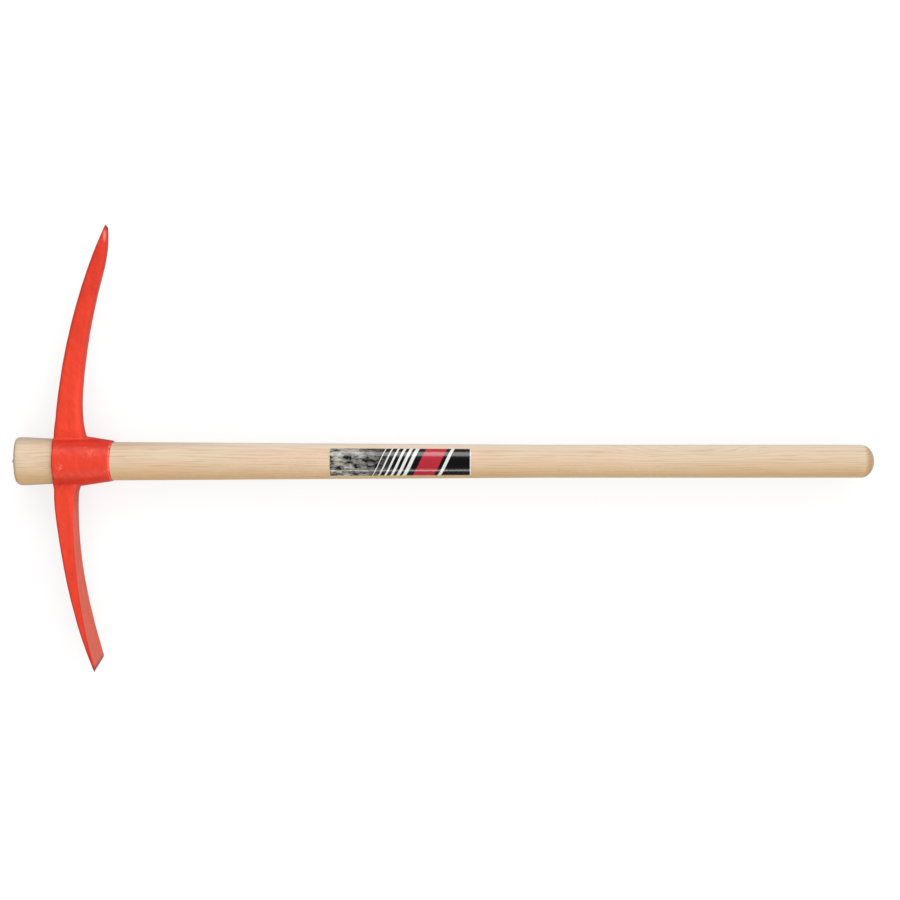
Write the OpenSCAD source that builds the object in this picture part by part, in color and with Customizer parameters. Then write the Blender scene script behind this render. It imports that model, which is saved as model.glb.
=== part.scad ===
// Pick axe: a forged head with a point and a chisel end, slipped onto the taper of a turned ash handle.
// X runs along the handle towards the grip, Y towards the point, and Z up from the ground that it lies on.
// The origin is on the handle's axis, midway through the roots of the two arms.

/* [Handle] */
// Length of the handle from its front face to the butt
handle_l = 947.2; // [800:0.1:1100]
// Length of handle ahead of the head's centre
handle_front_l = 57; // [50:0.1:80]
// Length of the straight swell at the front end
swell_l = 12; // [9:0.5:24]
// Lean of the front face from square, towards the upper side, in degrees
front_lean = 9; // [4:0.5:12]
// Radius round the edge of the front face
swell_round = 4; // [2:0.5:8]
// Height of the dome of the front face
face_dome = 0.6; // [0.3:0.1:3]
// Diameter of the stub left by the lathe centre
stub_d = 4.6; // [2:0.2:8]
// Height of that stub above the dome
stub_h = 3.2; // [1:0.2:8]
// Diameter of the straight grip
grip_d = 36.4; // [32:0.2:40]
// Length of the straight grip up to the domed butt
grip_l = 350; // [200:2:400]

/* [Eye] */
// Length of the eye along the handle
eye_l = 61; // [50:1:75]
// Distance from the head's centre to the front face of the eye
eye_front_l = 12; // [8:0.5:16]
// Bore of the eye at its front face
eye_front_d = 49.5; // [46:0.1:53]
// Bore of the eye at its back rim
eye_back_d = 42.5; // [38:0.1:43.5]
// Radial clearance between the eye and the handle's taper
eye_clear = 0.05; // [0.02:0.01:0.2]
// Outside diameter at the front face
barrel_front_d = 58.4; // [56:0.2:66]
// Outside diameter where the socket starts to narrow
barrel_waist_d = 54.6; // [52:0.2:58]
// Distance from the front face to where the socket starts to narrow
barrel_waist_l = 27; // [20:1:36]
// Outside diameter where the lip at the back starts
lip_d = 45; // [44.4:0.2:50]
// Length of the lip, which is drawn down to the handle
lip_l = 4; // [2:0.5:8]
// Wall of the lip at its rim
lip_t = 0.5; // [0.3:0.1:1.2]
// Radius round the outer edge of the front face
rim_round = 1.6; // [0.6:0.2:2.6]

/* [Arms] */
// Distance from the head's centre to the backs of the arms, on the handle's axis
arm_back_l = 15.2; // [13.5:0.1:18]
// Setback of an arm's back where it runs out onto the front face of the eye
back_setback = 2; // [0.5:0.1:3]
// Length of that run-out along the arm
back_run = 30; // [15:1:45]
// Growth of an arm's width in the fillet between its sides and the socket
crease_rise = 2.5; // [1:0.5:4]
// Length of that fillet along the arm
crease_run = 6; // [2:0.5:10]

/* [Point arm] */
// Length along the back from the handle's axis to the tip
point_arm_l = 268; // [200:1:320]
// Radius of the back
point_arc_r = 690; // [500:2:1200]
// Lean of the back towards the grip at the handle's axis, in degrees
point_lean = 2.6; // [0:0.1:5]
// Thickness at the handle's axis
point_root_t = 29.4; // [22:0.2:32]
// Thickness where the tip starts to be drawn out
point_neck_t = 17; // [10:0.2:20]
// Width at the handle's axis
point_root_w = 22.5; // [18:0.5:32]
// Width where the tip starts to be drawn out
point_neck_w = 16; // [10:0.5:22]
// Length of the drawn-out tip
tip_l = 61; // [30:1:80]
// Size of the blunt end of the tip
tip_t = 3; // [1.5:0.1:6]
// Slant of that end from square, with the back longer, in degrees
tip_slant = 28; // [0:1:40]
// Growth of the thickness in the sweep from the inner face to the socket
point_sweep_rise = 8.6; // [3:0.2:12]
// Length of that sweep along the arm
point_sweep_run = 54; // [10:1:80]

/* [Chisel arm] */
// Length along the back from the handle's axis to the edge
chisel_arm_l = 235.4; // [180:0.2:300]
// Radius of the back
chisel_arc_r = 630; // [450:2:1000]
// Lean of the back towards the grip at the handle's axis, in degrees
chisel_lean = -0.4; // [-3:0.1:3]
// Thickness at the handle's axis
chisel_root_t = 25.6; // [18:0.2:28]
// Thickness where the sharpened bevel starts
chisel_end_t = 2.4; // [2:0.1:8]
// Width at the root
chisel_root_w = 30; // [20:0.5:34]
// Width of the blade at its end
blade_w = 50; // [40:1:60]
// Length of blade behind the edge with that full width
blade_l = 4; // [3:0.5:40]
// Length of the flare from the arm to the blade
flare_l = 150; // [60:1:160]
// Length of the sharpened bevel
bevel_l = 2.5; // [1.5:0.5:3]
// Thickness of the cutting edge
edge_t = 0.8; // [0.4:0.1:2]
// Skew of the cutting edge from square, with the upper end longer, in degrees
edge_skew = 4.2; // [0:0.1:8]
// Growth of the thickness in the sweep from the inner face to the socket
chisel_sweep_rise = 9; // [3:0.2:12]
// Length of that sweep along the arm
chisel_sweep_run = 17; // [8:1:40]

/* [Label] */
// Length along the handle
label_l = 154; // [80:1:200]
// Width round the handle
label_w = 34; // [20:1:50]
// Thickness of the vinyl
label_t = 0.15; // [0.1:0.01:0.4]
// Thickness of the adhesive under it
adhesive_t = 0.15; // [0.1:0.01:0.3]
// Distance from the back rim of the eye to the label
label_offset = 240.5; // [120:0.5:300]

/* [Hidden] */
$fn = 96;
overrun = 12;
corner_steps = 4;
// Corner radius of an arm as a share of its thinner side, and the arm's start as a share of the eye's radius
point_corner_share = 0.24;
chisel_corner_share = 0.13;
root_share = 0.7;
// Places along the handle
front_x = -handle_front_l;
butt_x = handle_l - handle_front_l;
eye_front_x = -eye_front_l;
eye_back_x = eye_l - eye_front_l;
barrel_waist_x = eye_front_x + barrel_waist_l;
grip_r = grip_d / 2;
grip_end_x = butt_x - grip_r;
grip_x = grip_end_x - grip_l;
// The handle's taper is the eye's own taper, less the clearance, carried on to the swell
eye_slope = (eye_front_d - eye_back_d) / 2 / eye_l;
neck_r = eye_back_d / 2 - eye_clear;
swell_x = front_x + swell_l;
swell_r = neck_r + (eye_back_x - swell_x) * eye_slope;
face_r = swell_r - swell_round;
// Radius of the sphere that gives the front face its dome
dome_r = (face_r * face_r + face_dome * face_dome) / (2 * face_dome);
// Places along the arms: the start inside the eye, the socket's surface, and the changes of form after it
root_s = root_share * eye_back_d / 2;
point_socket_s = socket_s(point_root_w);
chisel_socket_s = socket_s(chisel_root_w);
tip_s = point_arm_l - tip_l;
bevel_s = chisel_arm_l - bevel_l;
blade_s = chisel_arm_l - blade_l;
flare_s = blade_s - flare_l;
label_x = eye_back_x + label_offset;

// Value a share of the way from a to b, and the same with an eased start and end
function between(a, b, share) = a + (b - a) * share;
function eased(share) = share * share * (3 - 2 * share);
// How far s has gone from a to b, as a share
function gone(s, a, b) = min(1, max(0, (s - a) / (b - a)));
// Places from a up to b, without b itself
function places(a, b, count) = [for (i = [0 : count - 1]) between(a, b, i / count)];
// Place where the corners of an arm of width w, grown by the crease's fillet, go into the socket
function socket_s(w) = sqrt(pow(barrel_waist_d / 2, 2) - pow(w / 2 + crease_rise, 2));
// Growth of an arm as it runs down to its start, on a quarter of an ellipse
function sweep(s, start, rise, run) = rise * (1 - sqrt(1 - pow(1 - gone(s, start, start + run), 2)));
// Places in an arm's root, up to the end of the sweep
function root_places(start, run) = concat(
    places(root_s, start, 2),
    places(start, start + crease_run, 5),
    places(start + crease_run, start + run, 5)
);
// Radius of the shank of the handle at x
function shank_r(x) = between(neck_r, grip_r, gone(x, eye_back_x, grip_x));

// Section of an arm at s: [place along the back, setback, thickness, width, corner radius, slant]
// The slant is how far a point goes forward for each unit of thickness and of width
function section(s, start, t, w, sweep_rise, sweep_run, corner_share, slant) = let (
    setback = back_setback * pow(1 - gone(s, start, start + back_run), 2)
) [
    s,
    setback,
    t - setback + sweep(s, start, sweep_rise, sweep_run),
    w + 2 * sweep(s, start, crease_rise, crease_run),
    corner_share * min(t, w),
    slant
];
function point_section(s) = let (
    drawn = pow(gone(s, tip_s, point_arm_l), 3),
    t = between(between(point_root_t, point_neck_t, s / tip_s), tip_t, drawn),
    w = between(between(point_root_w, point_neck_w, s / tip_s), tip_t, drawn),
    slant = [-tan(tip_slant) * gone(s, point_arm_l - tip_t, point_arm_l), 0]
) section(s, point_socket_s, t, w, point_sweep_rise, point_sweep_run, point_corner_share, slant);
function chisel_section(s) = let (
    ground = gone(s, bevel_s, chisel_arm_l),
    t = between(between(chisel_root_t, chisel_end_t, gone(s, 0, bevel_s)), edge_t, ground),
    w = between(chisel_root_w, blade_w, eased(gone(s, flare_s, blade_s))),
    slant = [0, tan(edge_skew) * gone(s, flare_s, blade_s)]
) section(s, chisel_socket_s, t, w, chisel_sweep_rise, chisel_sweep_run, chisel_corner_share, slant);

// Outline of a bar with round corners: thickness from the setback on, width about the middle
function bar_outline(setback, t, w, r) = [
    for (quarter = [0 : 3], i = [0 : corner_steps])
    let (
        a = 90 * (quarter + i / corner_steps),
        side_t = sign(cos(90 * quarter + 45)),
        side_w = sign(sin(90 * quarter + 45))
    )
    [setback + t / 2 + side_t * (t / 2 - r) + r * cos(a), side_w * (w / 2 - r) + r * sin(a)]
];
// The same outline stood on an arm's back arc, square to it but for the slant
function placed_outline(section, arc_r, lean) = let (
    turn = lean + section[0] / arc_r * 180 / PI,
    back_x = arc_r * (cos(lean) - cos(turn)) - arm_back_l,
    back_y = arc_r * (sin(turn) - sin(lean))
) [
    for (p = bar_outline(section[1], section[2], section[3], section[4]))
    let (ahead = section[5] * p)
    [back_x + p[0] * cos(turn) + ahead * sin(turn), back_y - p[0] * sin(turn) + ahead * cos(turn), p[1]]
];

// One solid through a row of sections along an arc
module arm(sections, arc_r, lean) {
    outlines = [for (s = sections) placed_outline(s, arc_r, lean)];
    count = len(outlines[0]);
    last = len(outlines) - 1;
    sides = [
        for (k = [0 : last - 1], i = [0 : count - 1])
        let (j = (i + 1) % count, a = k * count, b = a + count)
        for (face = [[a + i, a + j, b + j], [a + i, b + j, b + i]])
        face
    ];
    root = [for (i = [1 : count]) count - i];
    end = [for (i = [0 : count - 1]) last * count + i];
    polyhedron([for (o = outlines) for (p = o) p], concat(sides, [root, end]));
}

// Turns a shape drawn as [radius, place along the handle] about the handle's axis
module turned(angle = 360) {
    rotate([0, 90, 0])
        rotate([0, 0, 180 - angle / 2])
            rotate_extrude(angle = angle)
                children();
}

// Corner of a turned shape, rounded with radius r
module round_corner(r, x, radius) {
    translate([r - radius, x + radius])
        circle(radius);
}

module point_arm() {
    shaft_places = places(point_socket_s + point_sweep_run, tip_s, 7);
    tip_places = concat(places(tip_s, point_arm_l, 10), [point_arm_l]);
    all_places = concat(root_places(point_socket_s, point_sweep_run), shaft_places, tip_places);
    arm([for (s = all_places) point_section(s)], point_arc_r, point_lean);
}

module chisel_arm() {
    sweep_s = chisel_socket_s + chisel_sweep_run;
    shaft_places = concat(places(sweep_s, flare_s, 4), places(flare_s, blade_s, 10));
    blade_places = concat(places(blade_s, bevel_s, 2), [bevel_s, chisel_arm_l]);
    all_places = concat(root_places(chisel_socket_s, chisel_sweep_run), shaft_places, blade_places);
    arm([for (s = all_places) chisel_section(s)], chisel_arc_r, chisel_lean);
}

module socket() {
    front_r = barrel_front_d / 2;
    turned() {
        polygon([
            [0, eye_front_x],
            [front_r - rim_round, eye_front_x],
            [front_r, eye_front_x + rim_round],
            [barrel_waist_d / 2, barrel_waist_x],
            [lip_d / 2, eye_back_x - lip_l],
            [eye_back_d / 2 + lip_t, eye_back_x],
            [0, eye_back_x]
        ]);
        round_corner(front_r, eye_front_x, rim_round);
    }
}

module eye() {
    turned()
        polygon([
            [0, eye_front_x - overrun],
            [eye_front_d / 2 + overrun * eye_slope, eye_front_x - overrun],
            [eye_back_d / 2 - overrun * eye_slope, eye_back_x + overrun],
            [0, eye_back_x + overrun]
        ]);
}

module pick_head() {
    color("#d8402c")
        difference() {
            union() {
                socket();
                point_arm();
                mirror([0, 1, 0])
                    chisel_arm();
            }
            eye();
        }
}

// The handle before its front end is dressed
module handle_blank() {
    turned() {
        polygon([
            [0, front_x - overrun],
            [swell_r, front_x - overrun],
            [swell_r, swell_x],
            [neck_r, eye_back_x],
            [grip_r, grip_x],
            [grip_r, grip_end_x],
            [0, grip_end_x]
        ]);
        intersection() {
            translate([0, grip_end_x])
                circle(grip_r);
            translate([0, grip_end_x])
                square(grip_r);
        }
    }
}

// Form that the front end is dressed to: a leaning domed face with a round edge, opening towards the butt
module front_form() {
    opening = tan(2 * front_lean);
    translate([front_x, 0, 0])
        rotate([0, front_lean, 0])
            turned() {
                polygon([
                    [0, 0],
                    [face_r, 0],
                    [swell_r, swell_round],
                    [swell_r + handle_l * opening, swell_round + handle_l],
                    [0, swell_round + handle_l]
                ]);
                round_corner(swell_r, 0, swell_round);
                intersection() {
                    translate([0, dome_r - face_dome])
                        circle(dome_r);
                    translate([0, -face_dome])
                        square([face_r, face_dome]);
                }
            }
}

module handle() {
    color("#dcc19c")
        union() {
            intersection() {
                handle_blank();
                front_form();
            }
            translate([front_x - face_dome - stub_h, 0, 0])
                rotate([0, 90, 0])
                    cylinder(d = stub_d, h = stub_h + 2 * face_dome);
        }
}

module label() {
    end_x = label_x + label_l;
    inner_from_r = shank_r(label_x) + adhesive_t;
    inner_to_r = shank_r(end_x) + adhesive_t;
    color("#2c2c2e")
        turned(label_w / inner_from_r * 180 / PI)
            polygon([
                [inner_from_r, label_x],
                [inner_from_r + label_t, label_x],
                [inner_to_r + label_t, end_x],
                [inner_to_r, end_x]
            ]);
}

pick_head();
handle();
label();
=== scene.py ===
"""Looks of a pick axe: a forged head in red enamel on a turned ash handle, with a plain dark label."""

import math

import bmesh
import bpy
from mathutils import Matrix, Vector


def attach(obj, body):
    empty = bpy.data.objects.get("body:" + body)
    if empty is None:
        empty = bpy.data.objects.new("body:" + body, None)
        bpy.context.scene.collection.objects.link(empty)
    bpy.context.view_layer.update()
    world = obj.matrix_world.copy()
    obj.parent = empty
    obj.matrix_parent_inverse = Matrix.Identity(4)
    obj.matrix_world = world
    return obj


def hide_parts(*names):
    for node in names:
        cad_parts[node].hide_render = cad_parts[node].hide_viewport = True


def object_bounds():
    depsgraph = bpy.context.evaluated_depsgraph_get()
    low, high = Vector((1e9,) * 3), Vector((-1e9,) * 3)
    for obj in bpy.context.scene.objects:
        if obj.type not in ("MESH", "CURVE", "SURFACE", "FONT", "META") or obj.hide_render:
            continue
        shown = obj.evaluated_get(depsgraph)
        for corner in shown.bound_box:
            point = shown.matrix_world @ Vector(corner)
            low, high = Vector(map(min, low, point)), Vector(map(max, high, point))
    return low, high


bl_info = {
    "name": "Pick axe",
    "version": (1, 0, 0),
    "blender": (4, 5, 0),
    "location": "3D View > Sidebar > Pick axe",
    "description": "Forges the head, turns the handle and sticks on the label of a pick axe",
    "category": "Add Mesh",
}

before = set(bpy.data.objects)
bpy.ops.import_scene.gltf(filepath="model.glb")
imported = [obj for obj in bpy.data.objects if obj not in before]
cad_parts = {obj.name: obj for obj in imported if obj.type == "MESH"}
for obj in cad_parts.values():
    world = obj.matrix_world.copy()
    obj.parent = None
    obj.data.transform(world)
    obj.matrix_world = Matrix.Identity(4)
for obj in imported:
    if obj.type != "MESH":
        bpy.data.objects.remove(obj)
CAD_BOX = [list(corner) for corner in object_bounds()]
FLOOR_Z = CAD_BOX[0][2]
MM = 0.001
# Steps round a turned piece, and the angle from which an edge stays crisp
TURNED_STEPS = 96
CRISP = math.radians(32)


# Values that a user would change


def length(name, description, mm):
    """A length in the panel, with its default in millimetres."""
    return bpy.props.FloatProperty(
        name=name, description=description, default=mm * MM, unit="LENGTH", precision=5
    )


def angle(name, description, degrees):
    """An angle in the panel, with its default in degrees."""
    return bpy.props.FloatProperty(
        name=name, description=description, default=math.radians(degrees), subtype="ANGLE"
    )


def amount(name, description, value):
    """A plain number in the panel."""
    return bpy.props.FloatProperty(name=name, description=description, default=value)


def shade(name, description, hex_colour):
    """A colour in the panel, with its default as an sRGB hex value."""
    return bpy.props.FloatVectorProperty(
        name=name, description=description, default=linear(hex_colour), size=4, min=0, max=1, subtype="COLOR"
    )


def linear(hex_colour):
    """Linear RGBA of an sRGB hex value."""
    parts = [int(hex_colour[i : i + 2], 16) / 255 for i in (1, 3, 5)]
    return tuple(p / 12.92 if p <= 0.04045 else ((p + 0.055) / 1.055) ** 2.4 for p in parts) + (1.0,)


class HandleValues(bpy.types.PropertyGroup):
    """Sizes and colours of the turned ash handle."""

    front_x: length("Front", "Place of the middle of the front face along the handle", -57.9)
    front_lean: angle("Front lean", "Lean of the front face from square, towards the upper side", 9.0)
    dome: length("Dome", "Height of the dome of the front face", 0.6)
    stub_l: length("Stub length", "Length of the stub that the lathe centre leaves", 3.2)
    stub_r: length("Stub radius", "Radius of that stub", 2.3)
    swell_l: length("Swell length", "Length of the straight swell at the front", 12.0)
    swell_r: length("Swell radius", "Radius of that swell", 26.594)
    edge_round: length("Edge radius", "Radius round the edge of the front face", 4.0)
    worn_low: length("Worn lower edge", "How far the lower edge of the front face is worn back", 3.4)
    worn_high: length("Worn upper edge", "How far the upper edge of the front face is worn back", 1.4)
    neck_x: length("Neck", "Place where the taper leaves the back of the eye", 49.0)
    neck_r: length("Neck radius", "Radius there", 21.2)
    grip_x: length("Grip start", "Place where the straight grip starts", 522.0)
    grip_end_x: length("Grip end", "Place where the domed butt starts", 875.6)
    butt_l: length("Butt length", "How far the domed butt stands out", 14.0)
    grip_r: length("Grip radius", "Radius of the grip", 18.2)
    ring: length("Growth ring", "Spacing of the growth rings", 2.1)
    knot_x: length("Knot", "Place along the handle of a knot that the rings dip round", 690.0)
    knot_l: length("Knot length", "How far along the handle the rings dip on each side of it", 62.0)
    early: shade("Early wood", "Colour of the porous early wood", "#BF9A6C")
    late: shade("Late wood", "Colour of the dense late wood", "#E6D0B3")
    golden: shade("Golden wood", "Colour of the wood towards the lower side", "#DFB57C")
    blush: shade("Blush", "Colour of the pinkish patches", "#EAC9AE")
    pores: shade("Pores", "Colour of the open pores", "#B08A5C")
    flecks: shade("Flecks", "Colour of the ray flecks", "#F0DCC2")
    # The next colour is a painted sheen along the handle's upper and lower flanks
    pale: shade("Flank sheen", "Colour of the painted sheen on the flanks", "#F0E4D2")
    # The next colour takes the place of that sheen on the flanks near the head
    flanks_by_head: shade("Flanks by the head", "Colour of the flanks near the head", "#BFAE94")
    end_grain: shade("End grain", "Colour of the end grain", "#AC7F4E")


class HeadValues(bpy.types.PropertyGroup):
    """Sizes and colours of the forged head."""

    eye_front_x: length("Eye front", "Place of the front face of the eye", -12.0)
    eye_back_x: length("Eye back", "Place of the back rim of the eye", 50.0)
    eye_front_r: length("Eye front radius", "Radius of the bore at the front face", 24.75)
    eye_back_r: length("Eye back radius", "Radius of the bore at the back rim", 21.25)
    barrel_r: length("Barrel radius", "Outer radius at the front face", 29.2)
    waist_x: length("Waist", "Place where the socket starts to narrow", 15.0)
    waist_r: length("Waist radius", "Outer radius there", 27.3)
    lip_l: length("Lip length", "Length of the lip drawn down to the handle", 4.0)
    lip_r: length("Lip radius", "Outer radius where the lip starts", 22.5)
    lip_t: length("Lip wall", "Wall of the lip at its rim", 0.5)
    rim_round: length("Rim radius", "Radius round the edge of the front face", 1.6)
    arm_back: length("Arm back", "Distance from the middle to the backs of the arms", 15.2)
    setback: length("Setback", "Setback of an arm's back at the eye's front face", 2.0)
    setback_run: length("Setback run", "Length of that run-out along the arm", 30.0)
    front_reach: length("Front reach", "How far the eye's front face reaches forward at the arms", 2.4)
    upper_wall: length("Upper wall", "How much thicker the socket's wall is on the point's side", 1.1)
    crease_rise: length("Crease rise", "Growth of an arm's width at the socket", 2.5)
    crease_run: length("Crease run", "Length of that growth along the arm", 6.0)
    point_l: length("Point arm length", "Length along the back to the tip", 268.0)
    point_arc: length("Point arc", "Radius of the point arm's back", 690.0)
    point_lean: angle("Point lean", "Lean of the point arm at the handle", 2.6)
    point_root_t: length("Point root thickness", "Thickness at the handle's axis", 29.4)
    point_neck_t: length("Point neck thickness", "Thickness where the tip starts", 17.0)
    point_root_w: length("Point root width", "Width at the handle's axis", 22.5)
    point_neck_w: length("Point neck width", "Width where the tip starts", 16.0)
    point_spare: length("Point spare", "Length that is forged over and cut off at the tip", 2.0)
    tip_l: length("Tip length", "Length of the drawn-out tip", 61.0)
    tip_t: length("Tip size", "Size of the blunt end of the tip", 3.0)
    tip_slant: angle("Tip slant", "Slant of that end from square, with the back longer", 28.0)
    point_rise: length("Point sweep rise", "Growth of the thickness at the socket", 9.6)
    point_run: length("Point sweep run", "Length of that growth along the arm", 58.0)
    chisel_l: length("Chisel arm length", "Length along the back to the edge", 235.4)
    chisel_arc: length("Chisel arc", "Radius of the chisel arm's back", 630.0)
    chisel_lean: angle("Chisel lean", "Lean of the chisel arm at the handle", -0.4)
    chisel_root_t: length("Chisel root thickness", "Thickness at the handle's axis", 25.6)
    chisel_end_t: length("Chisel end thickness", "Thickness where the bevel starts", 2.4)
    chisel_root_w: length("Chisel root width", "Width at the root", 30.0)
    chisel_spare: length("Chisel spare", "Length that is forged over and cut off at the edge", 5.0)
    blade_w: length("Blade width", "Width of the blade at its end", 50.0)
    blade_l: length("Blade length", "Length of blade behind the edge with that width", 4.0)
    flare_l: length("Flare length", "Length of the flare from arm to blade", 150.0)
    bevel_l: length("Bevel length", "Length of the ground bevel", 2.5)
    edge_t: length("Edge thickness", "Thickness of the cutting edge", 0.8)
    edge_skew: angle("Edge skew", "Skew of the cutting edge from square, with the upper end longer", 4.2)
    chisel_rise: length("Chisel sweep rise", "Growth of the thickness at the socket", 11.0)
    chisel_run: length("Chisel sweep run", "Length of that growth along the arm", 24.0)
    point_corner: amount("Point corner", "Corner radius as a share of the thinner side", 0.24)
    chisel_corner: amount("Chisel corner", "Corner radius as a share of the thinner side", 0.13)
    ring_gap: length("Ring gap", "Distance between the rings of points along an arm", 2.4)
    scale_size: length("Forging grain", "Size of the mesh that the hammered skin is made of", 0.78)
    blow: length("Hammer blow", "Size of the marks left by the hammer", 14.0)
    hammered: length("Hammered", "Depth of the unevenness left by the hammer", 0.35)
    enamel: shade("Enamel", "Colour of the enamel", "#FA4A32")
    # The next colour deepens the red in random streaks, towards the ends of the arms and on the socket
    deep_enamel: shade("Deep enamel", "Colour of the deeper red in streaks, towards the arms' ends and on the socket", "#DC3A25")
    # The next colour is a painted sheen on the chisel arm's inner face
    inner_face_sheen: shade("Inner face sheen", "Colour of the painted sheen on the chisel's inner face", "#FF8C70")
    # The next colour is painted shade on the socket, in the creases and on the corners
    painted_shade_enamel: shade("Painted shade", "Colour of the painted shade on the socket, in the creases and on the corners", "#C52817")
    # The next colour is painted highlights: beside the tip, on the eye's back rim and in small glints
    highlight_enamel: shade("Painted highlight", "Colour of the painted highlights and glints", "#FF8A78")
    bare_steel: shade("Bare steel", "Colour of the scale where the enamel is thin", "#4B2724")


class LabelValues(bpy.types.PropertyGroup):
    """Sizes and colours of the vinyl label."""

    start_x: length("Start", "Place of the label's end that is nearer the head", 290.4)
    span: length("Length", "Length along the handle", 154.0)
    width: length("Width", "Width round the handle", 34.0)
    aside: length("Aside", "How far its middle lies off the top, round the handle towards the point", 1.1)
    gap: length("Adhesive", "Thickness of the adhesive under it", 0.15)
    film: length("Film", "Thickness of the vinyl", 0.15)
    ground: shade("Ground", "Colour of the printed ground", "#020203")
    speckle: shade("Speckle", "Colour of the grey speckle", "#D2CEC4")
    band: shade("Band", "Colour of the slanted band", "#C22236")
    rule: shade("Rule", "Colour of the thin bars", "#F0F0EE")


class StageValues(bpy.types.PropertyGroup):
    """Camera, lights and floor."""

    target_x: length("Target X", "Point at the middle of the view", 421.7)
    target_y: length("Target Y", "Point at the middle of the view", 12.5)
    distance: length("Distance", "Distance from the camera to that point", 1650.0)
    tilt: angle("Tilt", "Lean of the view towards the pick point's side", 7.0)
    frame_width: length("Frame width", "Width of the view at that point", 993.6)
    softbox_off: length("Softbox distance", "Distance from each softbox to that point", 1600.0)
    softbox_lean: angle("Softbox lean", "Lean of each softbox to its side of the view", 56.0)
    softbox_l: length("Softbox length", "Length of each softbox along the handle", 2600.0)
    upper_w: length("Upper softbox width", "Width of the softbox on the point's side", 800.0)
    lower_w: length("Lower softbox width", "Width of the softbox on the chisel's side", 200.0)
    upper_power: amount("Upper softbox", "Power of the broad softbox on the point's side, in watts", 14.2)
    lower_power: amount("Lower softbox", "Power of the narrow softbox on the chisel's side, in watts", 6.6)
    head_sky: amount("Sky before the head", "Strength of the soft light at the head's end of the room", 0.14)
    grip_sky: amount("Sky beyond the grip", "Strength of the soft light at the grip's end of the room", 1.28)
    flags: amount("Flags", "Strength of that light in reflections, behind the dark flags", 0.05)
    floor_size: length("Floor size", "Length of each side of the floor", 12000.0)
    floor_x: length("Floor X", "Place of the middle of the floor along the handle", 400.0)
    paper: shade("Paper", "Colour of the floor's paper", "#A0A0A0")
    floor_lift: amount("Floor lift", "Light that the floor gives off where it is seen", 0.72)
    mirrored_lift: amount("Mirrored lift", "Light that the floor gives off in reflections", 0.05)


# Making meshes


def between(a, b, share):
    """Value a share of the way from a to b."""
    return a + (b - a) * share


def gone(s, a, b):
    """How far s has gone from a to b, as a share."""
    return min(1.0, max(0.0, (s - a) / (b - a)))


def deselect():
    """Leaves edit mode with nothing selected."""
    if bpy.context.mode != "OBJECT":
        bpy.ops.object.mode_set(mode="OBJECT")
    bpy.ops.object.select_all(action="DESELECT")


def pick(obj):
    """Makes obj the one that is selected and active."""
    deselect()
    obj.select_set(True)
    bpy.context.view_layer.objects.active = obj


def apply_modifier(obj, kind, **settings):
    """Adds a modifier with its settings and applies it."""
    pick(obj)
    made = obj.modifiers.new(kind.lower(), kind)
    for name, value in settings.items():
        setattr(made, name, value)
    bpy.ops.object.modifier_apply(modifier=made.name)


def combine(obj, other, operation):
    """Joins other to obj or cuts it out of obj, and removes other."""
    apply_modifier(obj, "BOOLEAN", operation=operation, solver="MANIFOLD", object=other)
    bpy.data.objects.remove(other)


def spun(name, profile):
    """A closed turned shape from points of (place along the handle, radius), spun about the handle's axis."""
    deselect()
    bpy.ops.mesh.primitive_plane_add(size=MM, location=(profile[0][0], profile[0][1], 0))
    obj = bpy.context.object
    obj.name = name
    bpy.ops.object.transform_apply(location=True, rotation=True, scale=True)
    bpy.ops.object.mode_set(mode="EDIT")
    bpy.ops.mesh.merge(type="CENTER")
    for (from_x, from_r), (to_x, to_r) in zip(profile, profile[1:]):
        bpy.ops.mesh.extrude_region_move(
            TRANSFORM_OT_translate={"value": (to_x - from_x, to_r - from_r, 0)}
        )
    bpy.ops.mesh.select_all(action="SELECT")
    bpy.ops.mesh.spin(steps=TURNED_STEPS, angle=2 * math.pi, center=(0, 0, 0), axis=(1, 0, 0))
    bpy.ops.mesh.select_all(action="SELECT")
    bpy.ops.mesh.remove_doubles(threshold=0.005 * MM)
    bpy.ops.mesh.normals_make_consistent(inside=False)
    bpy.ops.object.mode_set(mode="OBJECT")
    return obj


def drawn_out(name, rings):
    """A closed bar drawn out ring by ring from a round blank."""
    deselect()
    bpy.ops.mesh.primitive_circle_add(vertices=len(rings[0]), radius=MM, fill_type="NGON")
    obj = bpy.context.object
    obj.name = name
    bpy.ops.object.mode_set(mode="EDIT")
    bpy.ops.mesh.select_mode(type="FACE")
    bpy.ops.mesh.select_all(action="SELECT")
    for index, ring in enumerate(rings):
        if index > 0:
            bpy.ops.mesh.extrude_region_move()
        edited = bmesh.from_edit_mesh(obj.data)
        face = next(f for f in edited.faces if f.select)
        for loop, place in zip(face.loops, ring):
            loop.vert.co = place
        bmesh.update_edit_mesh(obj.data)
    bpy.ops.mesh.select_all(action="SELECT")
    bpy.ops.mesh.normals_make_consistent(inside=False)
    bpy.ops.object.mode_set(mode="OBJECT")
    return obj


def dress(obj, material):
    """Gives obj one material and smooth shading that keeps its crisp edges."""
    obj.data.materials.clear()
    obj.data.materials.append(material)
    pick(obj)
    bpy.ops.object.shade_smooth_by_angle(angle=CRISP)
    deselect()


# Making materials


def add(tree, kind, links=None, stops=(), **settings):
    """Adds a node with its settings, its ramp's stops, and a link or a value for each socket named.

    A node that is given for a link stands for the first output that it has in use.
    """
    made = tree.nodes.new("ShaderNode" + kind)
    for name, value in settings.items():
        setattr(made, name, value)
    for index, (place, colour) in enumerate(stops):
        elements = made.color_ramp.elements
        stop = elements[index] if index < 2 else elements.new(place)
        stop.position = place
        stop.color = colour
    for socket, value in (links or {}).items():
        if isinstance(value, bpy.types.Node):
            value = next(output for output in value.outputs if output.enabled)
        if isinstance(value, bpy.types.NodeSocket):
            tree.links.new(value, made.inputs[socket])
        else:
            made.inputs[socket].default_value = value
    return made


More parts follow.
